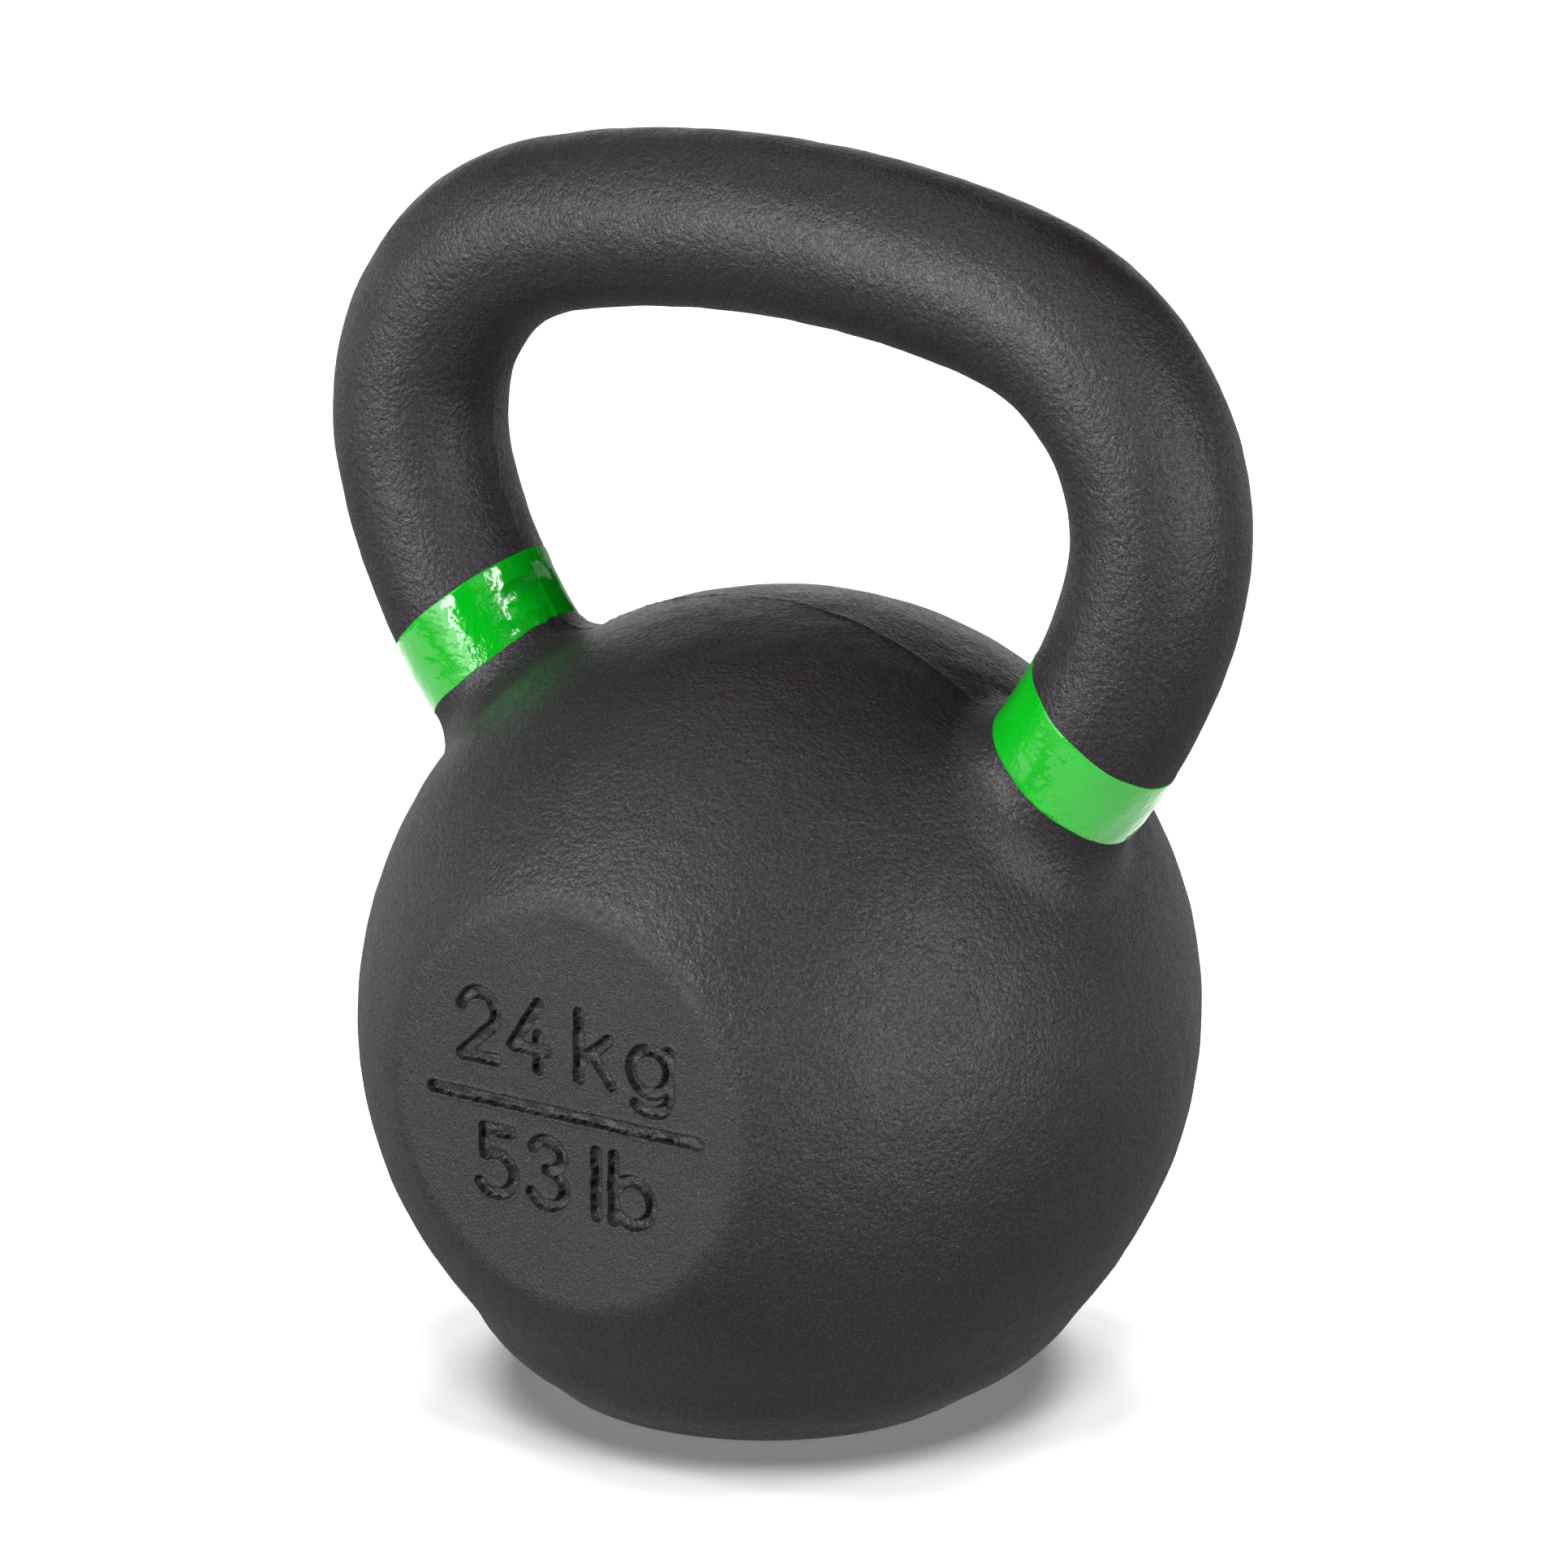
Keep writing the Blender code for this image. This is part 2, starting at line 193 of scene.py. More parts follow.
def nearest_on_centreline(points):
    """Index of the nearest centreline sample, and the distance in the XZ plane, for each point."""
    flat = np.stack([np.abs(points[:, 0]), points[:, 2]], axis=1)
    coarse_step, block_size = 16, 50000
    coarse = CENTRELINE[::coarse_step]
    index = np.zeros(len(flat), dtype=int)
    for start in range(0, len(flat), block_size):
        block = flat[start:start + block_size]
        gaps = ((block[:, None, :] - coarse[None, :, :]) ** 2).sum(axis=2)
        index[start:start + block_size] = gaps.argmin(axis=1) * coarse_step
    for step in (8, 4, 2, 1):
        options = np.clip(index[:, None] + step * np.array([-1, 0, 1]), 0, len(CENTRELINE) - 1)
        gaps = ((flat[:, None, :] - CENTRELINE[options]) ** 2).sum(axis=2)
        index = np.take_along_axis(options, gaps.argmin(axis=1)[:, None], axis=1)[:, 0]
    offset = flat - CENTRELINE[index]
    run = (offset * TANGENTS[index]).sum(axis=1)
    across = offset - run[:, None] * TANGENTS[index]
    return index, np.sqrt((across ** 2).sum(axis=1))


# --- the casting as a distance field ---

def round_union(first, second, radius):
    """Union of two distance fields with a fillet of that radius where they meet."""
    inside = np.hypot(np.maximum(radius - first, 0.0), np.maximum(radius - second, 0.0))
    return np.maximum(radius, np.minimum(first, second)) - inside


def round_cut(first, second, radius):
    """Intersection of two distance fields with an edge rounded to that radius."""
    return -round_union(-first, -second, radius)


def ball_distance(points):
    """Distance to the ball's ellipsoid, good near its surface."""
    half = 0.5 * np.array([BALL_WIDTH, BALL_DEPTH, BALL_HEIGHT])
    offset = points - np.array([0.0, 0.0, BALL_CENTRE_Z])
    scaled = np.linalg.norm(offset / half, axis=1)
    slope = np.linalg.norm(offset / half ** 2, axis=1)
    return scaled * (scaled - 1.0) / np.maximum(slope, 1e-9)


def foot_distance(points):
    """The two cones that run from the edge of the foot up into the ball."""
    lean = np.clip(1.0 - points[:, 2] / FLARE_Z, 0.0, 1.0) ** 2
    radius = np.hypot(points[:, 0] - lean * FOOT_SHIFT[0], points[:, 1] - lean * FOOT_SHIFT[1])
    rise = math.atan2(FOOT_SHOULDER_RADIUS - FOOT_RADIUS, FOOT_SHOULDER_Z)
    lower = (radius - FOOT_RADIUS) * math.cos(rise) - points[:, 2] * math.sin(rise)
    rise = math.atan2(FLARE_RADIUS - FOOT_SHOULDER_RADIUS, FLARE_Z - FOOT_SHOULDER_Z)
    upper = ((radius - FLARE_RADIUS) * math.cos(rise)
             - (points[:, 2] - FLARE_Z) * math.sin(rise))
    soft = np.maximum(FOOT_SHOULDER_EASE - np.abs(lower - upper), 0.0)
    bend = np.maximum(lower, upper) + soft ** 2 / (4.0 * FOOT_SHOULDER_EASE)
    return np.maximum(bend, points[:, 2] - FLARE_Z)


def bar_distance(points):
    _, gap = nearest_on_centreline(points)
    return np.hypot(gap, points[:, 1]) - GRIP_RADIUS


def casting_distance(points):
    body = round_union(ball_distance(points), foot_distance(points), FOOT_BLEND)
    body = round_cut(body, np.abs(points[:, 1]) - HALF_FACE_SPACING, FACE_RIM_RADIUS)
    body = round_union(body, bar_distance(points), ROOT_FILLET)
    return round_cut(body, -points[:, 2], FOOT_EDGE)


def settle(points, distance, rounds=4):
    """Move points onto the zero of a distance field, by Newton steps along its gradient."""
    reach = 0.00005
    corners = np.array([[1, -1, -1], [-1, -1, 1], [-1, 1, -1], [1, 1, 1]], dtype=float)
    for _ in range(rounds):
        gradient = sum(corner * distance(points + reach * corner)[:, None] for corner in corners)
        gradient /= 4.0 * reach
        length = np.maximum((gradient ** 2).sum(axis=1), 0.25)
        points = points - gradient * (distance(points) / length)[:, None]
    gradient /= np.linalg.norm(gradient, axis=1)[:, None]
    return points, gradient


def lumps(points, wavelength, seed, waves=28):
    """A smooth random field of about unit size, made of plane waves."""
    random = np.random.default_rng(seed)
    field = np.zeros(len(points))
    for _ in range(waves):
        direction = random.normal(size=3)
        length = wavelength * random.uniform(0.8, 1.35)
        direction *= 2.0 * math.pi / (length * np.linalg.norm(direction))
        field += np.sin(points @ direction + random.uniform(0.0, 2.0 * math.pi))
    return field * math.sqrt(2.0 / waves)


# --- the weight mark ---

def arc(x, z, radius_x, radius_z, start, end, count=13):
    """Points of an elliptical arc from one angle to another, in degrees from +X to +Z."""
    angles = [math.radians(start + (end - start) * i / (count - 1)) for i in range(count)]
    return [(x + radius_x * math.cos(a), z + radius_z * math.sin(a)) for a in angles]


def figure_two():
    w, h = DIGIT_WIDTH, DIGIT_HEIGHT
    top = 0.5 * w
    return w, [arc(top, h - top, top, top, 165, -38) + [(0.0, 0.0), (w, 0.0)]]


def figure_three():
    w, h = DIGIT_WIDTH, DIGIT_HEIGHT
    upper = arc(0.48 * w, 0.77 * h, 0.44 * w, 0.23 * h, 155, -90)
    lower = arc(0.48 * w, 0.27 * h, 0.52 * w, 0.27 * h, 90, -155)
    return w, [upper, lower]


def figure_four():
    w, h = DIGIT_WIDTH, DIGIT_HEIGHT
    stem = 0.74 * w
    return w, [[(stem, h), (0.0, 0.30 * h), (w, 0.30 * h)], [(stem, 0.52 * h), (stem, 0.0)]]


def figure_five():
    w, h = DIGIT_WIDTH, DIGIT_HEIGHT
    bowl = arc(0.46 * w, 0.32 * h, 0.54 * w, 0.32 * h, 125, -145)
    return w, [[(0.92 * w, h), (0.14 * w, h)] + bowl]


def letter_k():
    w, h = DIGIT_WIDTH, DIGIT_HEIGHT
    waist = 0.36 * UNIT_HEIGHT
    arm = [(0.86 * w, UNIT_HEIGHT), (0.0, waist)]
    leg = [(0.36 * w, waist + 0.27 * UNIT_HEIGHT), (0.92 * w, 0.0)]
    return w, [[(0.0, h), (0.0, 0.0)], arm, leg]


def letter_g():
    bowl = 0.5 * UNIT_HEIGHT
    tail = 0.34 * UNIT_HEIGHT
    hook = arc(bowl, -tail + bowl * 0.55, bowl, bowl * 0.72, 0, -140)
    ring = arc(bowl, bowl, bowl, bowl, 0, 360, 25)
    return UNIT_HEIGHT, [ring, [(UNIT_HEIGHT, UNIT_HEIGHT)] + hook]


def letter_l():
    return 0.0, [[(0.0, DIGIT_HEIGHT), (0.0, 0.0)]]


def letter_b():
    bowl = 0.5 * UNIT_HEIGHT
    ring = arc(bowl, bowl, bowl, bowl, 180, 540, 25)
    return UNIT_HEIGHT, [[(0.0, DIGIT_HEIGHT), (0.0, 0.0)], ring]


def line_of_mark(base_z, words):
    """Strokes of one centred row of characters; each word is a list of glyph functions."""
    strokes = []
    x = 0.0
    for word in words:
        for width, outlines in (glyph() for glyph in word):
            strokes += [[(x + px, base_z + pz) for px, pz in outline] for outline in outlines]
            x += width + CHARACTER_GAP
        x += WORD_GAP - CHARACTER_GAP
    half = 0.5 * (x - WORD_GAP)
    return [[(px - half, pz) for px, pz in stroke] for stroke in strokes]


def mark_strokes():
    strokes = line_of_mark(UPPER_LINE_Z, [[figure_two, figure_four], [letter_k, letter_g]])
    strokes += [[(-0.5 * BAR_LENGTH, BAR_Z), (0.5 * BAR_LENGTH, BAR_Z)]]
    strokes += line_of_mark(LOWER_LINE_Z, [[figure_five, figure_three], [letter_l, letter_b]])
    return strokes


def distance_to_strokes(x, z):
    flat = np.stack([x, z], axis=1)
    best = np.full(len(flat), 1.0)
    for stroke in mark_strokes():
        for start, end in zip(np.array(stroke), np.array(stroke[1:])):
            run = end - start
            share = np.clip((flat - start) @ run / (run @ run), 0.0, 1.0)
            best = np.minimum(best, np.linalg.norm(flat - start - share[:, None] * run, axis=1))
    return best


# --- meshes ---

def read_points(mesh):
    values = np.empty(3 * len(mesh.vertices))
    mesh.vertices.foreach_get("co", values)
    return values.reshape(-1, 3)


def write_points(mesh, points):
    mesh.vertices.foreach_set("co", points.ravel())
    mesh.update()


def new_piece(name, mesh, node, material):
    """A piece of the object that stands for one CAD node."""
    piece = bpy.data.objects.new(name, mesh)
    bpy.context.scene.collection.objects.link(piece)
    mesh.materials.clear()
    mesh.materials.append(material)
    mesh.polygons.foreach_set("use_smooth", [True] * len(mesh.polygons))
    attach(piece, "root")
    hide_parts(node)
    return piece


def rough_casting():
    """Ball, foot and bar as overlapping closed shapes, for the voxel skin to wrap."""
    work = bmesh.new()
    half = Vector((BALL_WIDTH, BALL_DEPTH, BALL_HEIGHT)) * 0.5
    place = Matrix.Translation((0.0, 0.0, BALL_CENTRE_Z)) @ Matrix.Diagonal((*half, 1.0))
    bmesh.ops.create_uvsphere(work, u_segments=128, v_segments=64, radius=1.0, matrix=place)
    for side in (-1.0, 1.0):
        geometry = work.verts[:] + work.edges[:] + work.faces[:]
        cut = bmesh.ops.bisect_plane(
            work, geom=geometry, plane_co=(0.0, side * HALF_FACE_SPACING, 0.0),
            plane_no=(0.0, side, 0.0), clear_outer=True)
        rim = [item for item in cut["geom_cut"] if isinstance(item, bmesh.types.BMEdge)]
        bmesh.ops.holes_fill(work, edges=rim, sides=0)
    geometry = work.verts[:] + work.edges[:] + work.faces[:]
    cut = bmesh.ops.bisect_plane(
        work, geom=geometry, plane_co=(0.0, 0.0, 0.0), plane_no=(0.0, 0.0, -1.0), clear_outer=True)
    rim = [item for item in cut["geom_cut"] if isinstance(item, bmesh.types.BMEdge)]
    bmesh.ops.holes_fill(work, edges=rim, sides=0)
    add_rough_cone(work, (FOOT_RADIUS, 0.0), (FOOT_SHOULDER_RADIUS, FOOT_SHOULDER_Z), 0.8)
    overlap_start = (FOOT_SHOULDER_RADIUS - 0.0015, FOOT_SHOULDER_Z - 0.0010)
    add_rough_cone(work, overlap_start, (FLARE_RADIUS, FLARE_Z), 0.4)
    add_rough_bar(work)
    bmesh.ops.recalc_face_normals(work, faces=work.faces)
    mesh = bpy.data.meshes.new("rough_casting")
    work.to_mesh(mesh)
    work.free()
    return mesh


def add_rough_cone(work, low, high, shift_share):
    """A capped cone from one (radius, z) up to another, moved by a share of the foot's shift."""
    middle = (shift_share * FOOT_SHIFT[0], shift_share * FOOT_SHIFT[1], 0.5 * (high[1] + low[1]))
    bmesh.ops.create_cone(
        work, cap_ends=True, segments=128, radius1=low[0], radius2=high[0],
        depth=high[1] - low[1], matrix=Matrix.Translation(middle))


def add_rough_bar(work, sides=48, stride=8):
    """Rings of the bar from horn to horn, bridged and capped."""
    half = list(zip(CENTRELINE[::stride], TANGENTS[::stride]))
    stations = [(-x, z, tangent_x, -tangent_z)
                for (x, z), (tangent_x, tangent_z) in reversed(half[1:])]
    stations += [(x, z, tangent_x, tangent_z) for (x, z), (tangent_x, tangent_z) in half]
    rings = []
    for x, z, tangent_x, tangent_z in stations:
        ring = []
        for i in range(sides):
            angle = 2.0 * math.pi * i / sides
            out = GRIP_RADIUS * math.cos(angle)
            y = GRIP_RADIUS * math.sin(angle)
            ring.append(work.verts.new((x - tangent_z * out, y, z + tangent_x * out)))
        rings.append(ring)
    for first, second in zip(rings, rings[1:]):
        for i in range(sides):
            j = (i + 1) % sides
            work.faces.new((first[i], first[j], second[j], second[i]))
    work.faces.new(rings[0])
    work.faces.new(list(reversed(rings[-1])))


def voxel_skin(mesh, size):
    """One even skin of quads round the overlapping shapes of a mesh."""
    holder = bpy.data.objects.new("voxel_holder", mesh)
    bpy.context.scene.collection.objects.link(holder)
    remesh = holder.modifiers.new("skin", "REMESH")
    remesh.mode = "VOXEL"
    remesh.voxel_size = size
    bpy.context.view_layer.update()
    wrapped = holder.evaluated_get(bpy.context.evaluated_depsgraph_get())
    skin = bpy.data.meshes.new_from_object(wrapped)
    bpy.data.objects.remove(holder, do_unlink=True)
    bpy.data.meshes.remove(mesh)
    return skin


def seam_strength(points):
    """How much of the parting line is left: most inside the handle window, a trace on one side."""
    index, _ = nearest_on_centreline(points)
    side = np.sign(points[:, 0])
    normal = np.stack([-TANGENTS[index, 1] * side, TANGENTS[index, 0]], axis=1)
    centre = np.stack([CENTRELINE[index, 0] * side, CENTRELINE[index, 1]], axis=1)
    outward = ((points[:, [0, 2]] - centre) * normal).sum(axis=1)
    from_top = points[:, 2] - (BALL_CENTRE_Z + 0.5 * BALL_HEIGHT)
    horn = smooth_step((ALONG[index] - 0.085) / 0.03) * smooth_step((-outward - 0.008) / 0.006)
    crown = smooth_step((from_top + 0.030) / 0.010) * (np.abs(points[:, 0]) < 0.062)
    low, high = BALL_CENTRE_Z + 0.002, BALL_CENTRE_Z + 0.022
    trace = (points[:, 0] > 0.07) & (points[:, 2] > low) & (points[:, 2] < high)
    return np.maximum(np.maximum(horn, 0.9 * crown * (from_top < 0.004)), 0.45 * trace)


def seam_height(points):
    ragged = 0.65 + 0.30 * lumps(points, 0.007, seed=21) + 0.15 * lumps(points, 0.002, seed=22)
    wander = 0.00018 * lumps(points * np.array([1.0, 0.0, 1.0]), 0.012, seed=23)
    ridge = np.exp(-((points[:, 1] - wander) / SEAM_HALF_WIDTH) ** 2)
    return SEAM_HEIGHT * ridge * np.clip(ragged, 0.1, 1.2) * seam_strength(points)


def near_mark(points):
    """Where the strokes of the mark are cut."""
    chosen = points[:, 1] < 0.0005 - HALF_FACE_SPACING
    chosen &= np.abs(points[:, 0]) < 0.5 * BAR_LENGTH + 0.004
    spot = points[chosen]
    chosen[chosen] = distance_to_strokes(spot[:, 0], spot[:, 2]) < GROOVE_EDGE + 0.8 * SKIN_SPACING
    return chosen


def near_edges(points):
    """The rims of the faces, the edge of the foot and the parting line."""
    half = 0.5 * np.array([BALL_WIDTH, BALL_DEPTH, BALL_HEIGHT])
    rim_radius = math.sqrt(1.0 - (HALF_FACE_SPACING / half[1]) ** 2) * half[0]
    from_axis = np.hypot(points[:, 0], points[:, 2] - BALL_CENTRE_Z)
    rim = np.abs(points[:, 1]) > HALF_FACE_SPACING - NEAR_RIM
    rim &= np.abs(from_axis - rim_radius) < NEAR_RIM
    foot = points[:, 2] < NEAR_EDGE
    from_foot = np.hypot(points[:, 0] - FOOT_SHIFT[0], points[:, 1] - FOOT_SHIFT[1])
    foot &= np.abs(from_foot - FOOT_RADIUS) < NEAR_EDGE
    seam = (np.abs(points[:, 1]) < NEAR_EDGE) & (seam_strength(points) > 0.05)
    return rim | foot | seam


def refine(mesh, places, cuts):
    """Split the skin's coarse quads at some places."""
    work = bmesh.new()
    work.from_mesh(mesh)
    work.faces.ensure_lookup_table()
    centres = np.array([face.calc_center_median()[:] for face in work.faces])
    coarse = (0.6 * SKIN_SPACING) ** 2
    chosen = set()
    for index in np.nonzero(places(centres))[0]:
        if work.faces[index].calc_area() > coarse:
            chosen.update(work.faces[index].edges)
    bmesh.ops.subdivide_edges(work, edges=list(chosen), cuts=cuts, use_grid_fill=True)
    work.to_mesh(mesh)
    work.free()


def stroke_gap(points):
    """Distance to the nearest stroke's middle line, made a little uneven as in a sand mould."""
    gap = distance_to_strokes(points[:, 0], points[:, 2])
    return gap + 0.00004 * lumps(points, 0.0016, seed=31) + 0.00006 * lumps(points, 0.006, seed=32)


def snap_to_groove(points):
    """Slide points of the fine mesh along the face onto the two edges of the groove's wall."""
    reach = 0.00002
    gap = stroke_gap(points)
    slide = np.zeros_like(points)
    for axis in (0, 2):
        shift = np.zeros(3)
        shift[axis] = reach
        slide[:, axis] = (stroke_gap(points + shift) - stroke_gap(points - shift)) / (2.0 * reach)
    slide /= np.maximum((slide ** 2).sum(axis=1), 0.3)[:, None]
    catch = 0.49 * (GROOVE_EDGE - GROOVE_FLOOR)
    move = np.zeros(len(points))
    for target in (GROOVE_FLOOR, GROOVE_EDGE):
        move = np.where(np.abs(gap - target) < catch, target - gap, move)
    return points + slide * move[:, None]


def paint_groove_shade(mesh, on_mark):
    """Keep how near to the middle of a groove's wall each point lies: painted shade goes there, a
    dark band that stands in for the shade inside the groove.
    """
    shade = np.zeros(len(on_mark))
    gap = stroke_gap(read_points(mesh)[on_mark])
    middle, spread = GROOVE_PAINTED_SHADE_BAND
    shade[on_mark] = np.exp(-((gap - middle) / spread) ** 2)
    mesh.attributes.new("groove_painted_shade", "FLOAT", "POINT").data.foreach_set("value", shade)


def cut_mark(points):
    """Sink the strokes of the mark into the front face."""
    points = snap_to_groove(points)
    gap = stroke_gap(points)
    share = np.clip((GROOVE_EDGE - gap) / (GROOVE_EDGE - GROOVE_FLOOR), 0.0, 1.0)
    lip = LIP_HEIGHT * np.exp(-((gap - GROOVE_EDGE - LIP_OUT) / LIP_SPREAD) ** 2)
    uneven = 1.0 + 0.08 * lumps(points, 0.004, seed=33)
    points[:, 1] += GROOVE_DEPTH * share * uneven - lip
    return points


def skin_swell(points):
    """Unevenness of the cast skin, inside the true shape; flatter on the faces and the foot."""
    swell = 0.00004 * lumps(points, 0.034, seed=1) + 0.00004 * lumps(points, 0.013, seed=2)
    swell += 0.00003 * lumps(points, 0.0065, seed=3)
    flat = smooth_step((0.0012 - (HALF_FACE_SPACING - np.abs(points[:, 1]))) / 0.0012)
    on_foot = smooth_step((0.004 - points[:, 2]) / 0.004)
    swell *= 1.0 - np.maximum(0.8 * flat, on_foot)
    swell = np.clip(swell, -2.0 * SKIN_INSET, SKIN_INSET - 0.00005) - SKIN_INSET * (1.0 - on_foot)
    return swell + seam_height(points)


def make_casting(material):
    mesh = voxel_skin(rough_casting(), SKIN_SPACING)
    points, _ = settle(read_points(mesh), casting_distance)
    write_points(mesh, points)
    refine(mesh, near_mark, MARK_CUTS)
    refine(mesh, near_edges, EDGE_CUTS)
    points, normals = settle(read_points(mesh), casting_distance)
    on_mark = near_mark(points)
    points = points + normals * skin_swell(points)[:, None]
    points[on_mark] = cut_mark(points[on_mark])
    write_points(mesh, points)
    paint_groove_shade(mesh, on_mark)
    return new_piece("casting_skin", mesh, "casting", material)


# --- bands ---

def band_frame(side):
    """Centre of a band and its axis (towards the ball)."""
    index = int(np.searchsorted(ALONG, BAND_MIDDLE))
    x, z = CENTRELINE[index]
    slope = math.atan2(-TANGENTS[index][1], TANGENTS[index][0]) + BAND_LEAN
    skew = RIGHT_BAND_SKEW if side > 0.0 else 0.0
    axis = Vector((
        side * math.cos(slope) * math.cos(skew),
        -math.sin(skew),
        -math.sin(slope) * math.cos(skew)))
    return Vector((side * x, 0.0, z)), axis


def make_band(name, side, node, material):
    """A strip wrapped round the horn: rings between two parallel planes, settled on the bar."""
    centre, axis = band_frame(side)
    third = axis.cross(Vector((0.0, 1.0, 0.0))).normalized()
    across = third.cross(axis)
    sides, rows = 192, 22
    edge, turns = BAND_EDGE_SHARE, (0.5, 1.0, 1.57)
    round_edge = [(edge + 0.02 * math.cos(turn), math.sin(turn)) for turn in turns]
    profile = [(-0.5, -1.0)]
    profile += [(-share, height) for share, height in round_edge]
    profile += [(-edge + 2.0 * edge * i / rows, 1.0) for i in range(1, rows)]
    profile += [(share, height) for share, height in reversed(round_edge)]
    profile += [(0.5, -1.0)]
    start = []
    for share, _ in profile:
        for i in range(sides):
            angle = 2.0 * math.pi * i / sides
            spoke = (math.cos(angle) * across + math.sin(angle) * third) * GRIP_RADIUS
            start.append(centre + spoke + axis * (share * BAND_WIDTH))
    points = np.array(start)
    plane = np.array(axis)
    level = points @ plane
    for _ in range(4):
        points, _ = settle(points, bar_distance, rounds=2)
        points = points + (level - points @ plane)[:, None] * plane
    points, normals = settle(points, bar_distance, rounds=1)
    height = BAND_THICKNESS * np.repeat([height for _, height in profile], sides)
    height += skin_swell(points) + 0.00001 * lumps(points, 0.0035, seed=42)
    edge_wave = 0.00008 * lumps(points, 0.012, seed=43)
    points = points + normals * height[:, None] + edge_wave[:, None] * plane
    faces = []
    count = len(profile)
    for row in range(count):
        following = (row + 1) % count
        for i in range(sides):
            j = (i + 1) % sides
            faces.append((row * sides + i, row * sides + j,
                          following * sides + j, following * sides + i))
    mesh = bpy.data.meshes.new(name)
    mesh.from_pydata([tuple(point) for point in points], [], faces)
    work = bmesh.new()
    work.from_mesh(mesh)
    bmesh.ops.recalc_face_normals(work, faces=work.faces)
    work.to_mesh(mesh)
    work.free()
    return new_piece(name, mesh, node, material)


# --- materials ---

class Nodes:
    """One new material, with short calls for making and joining its nodes."""

    def __init__(self, name):
        self.material = bpy.data.materials.new(name)
        self.material.use_nodes = True
        self.tree = self.material.node_tree
        self.tree.nodes.clear()
        self.place = self.add("ShaderNodeTexCoord").outputs["Object"]
        self.shader = self.add("ShaderNodeBsdfPrincipled")
        output = self.add("ShaderNodeOutputMaterial")
        self.join(self.shader.outputs["BSDF"], output.inputs["Surface"])

    def add(self, kind, **settings):
        node = self.tree.nodes.new(kind)
        for key, value in settings.items():
            setattr(node, key, value)
        return node

    def join(self, source, target):
        self.tree.links.new(source, target)

    def noise(self, scale, detail, roughness):
        node = self.add("ShaderNodeTexNoise")
        node.inputs["Scale"].default_value = scale
        node.inputs["Detail"].default_value = detail
        node.inputs["Roughness"].default_value = roughness
        self.join(self.place, node.inputs["Vector"])
        return node.outputs["Fac"]

    def math(self, operation, first, second=None, clamp=False):
        node = self.add("ShaderNodeMath", operation=operation, use_clamp=clamp)
        for socket, value in zip(node.inputs, (first, second)):
            if value is None:
                continue
            if isinstance(value, (int, float)):
                socket.default_value = value
            else:
                self.join(value, socket)
        return node.outputs[0]

    def span(self, value, low, high, to_low, to_high):
        node = self.add("ShaderNodeMapRange", interpolation_type="SMOOTHSTEP")
        self.join(value, node.inputs["Value"])
        limits = {"From Min": low, "From Max": high, "To Min": to_low, "To Max": to_high}
        for name, number in limits.items():
            node.inputs[name].default_value = number
        return node.outputs["Result"]

    def bump(self, height, distance, strength, below=None):
        node = self.add("ShaderNodeBump")
        node.inputs["Strength"].default_value = strength
        node.inputs["Distance"].default_value = distance
        self.join(height, node.inputs["Height"])
        if below is not None:
            self.join(below, node.inputs["Normal"])
        return node.outputs["Normal"]

    def mix_colour(self, share, first, second):
        node = self.add("ShaderNodeMix", data_type="RGBA")
        self.join(share, node.inputs["Factor"])
        for name, value in (("A", first), ("B", second)):
            socket = [s for s in node.inputs if s.name == name and s.type == "RGBA"][0]
            if isinstance(value, tuple):
                socket.default_value = (*value, 1.0)
            else:
                self.join(value, socket)
        return [s for s in node.outputs if s.type == "RGBA"][0]


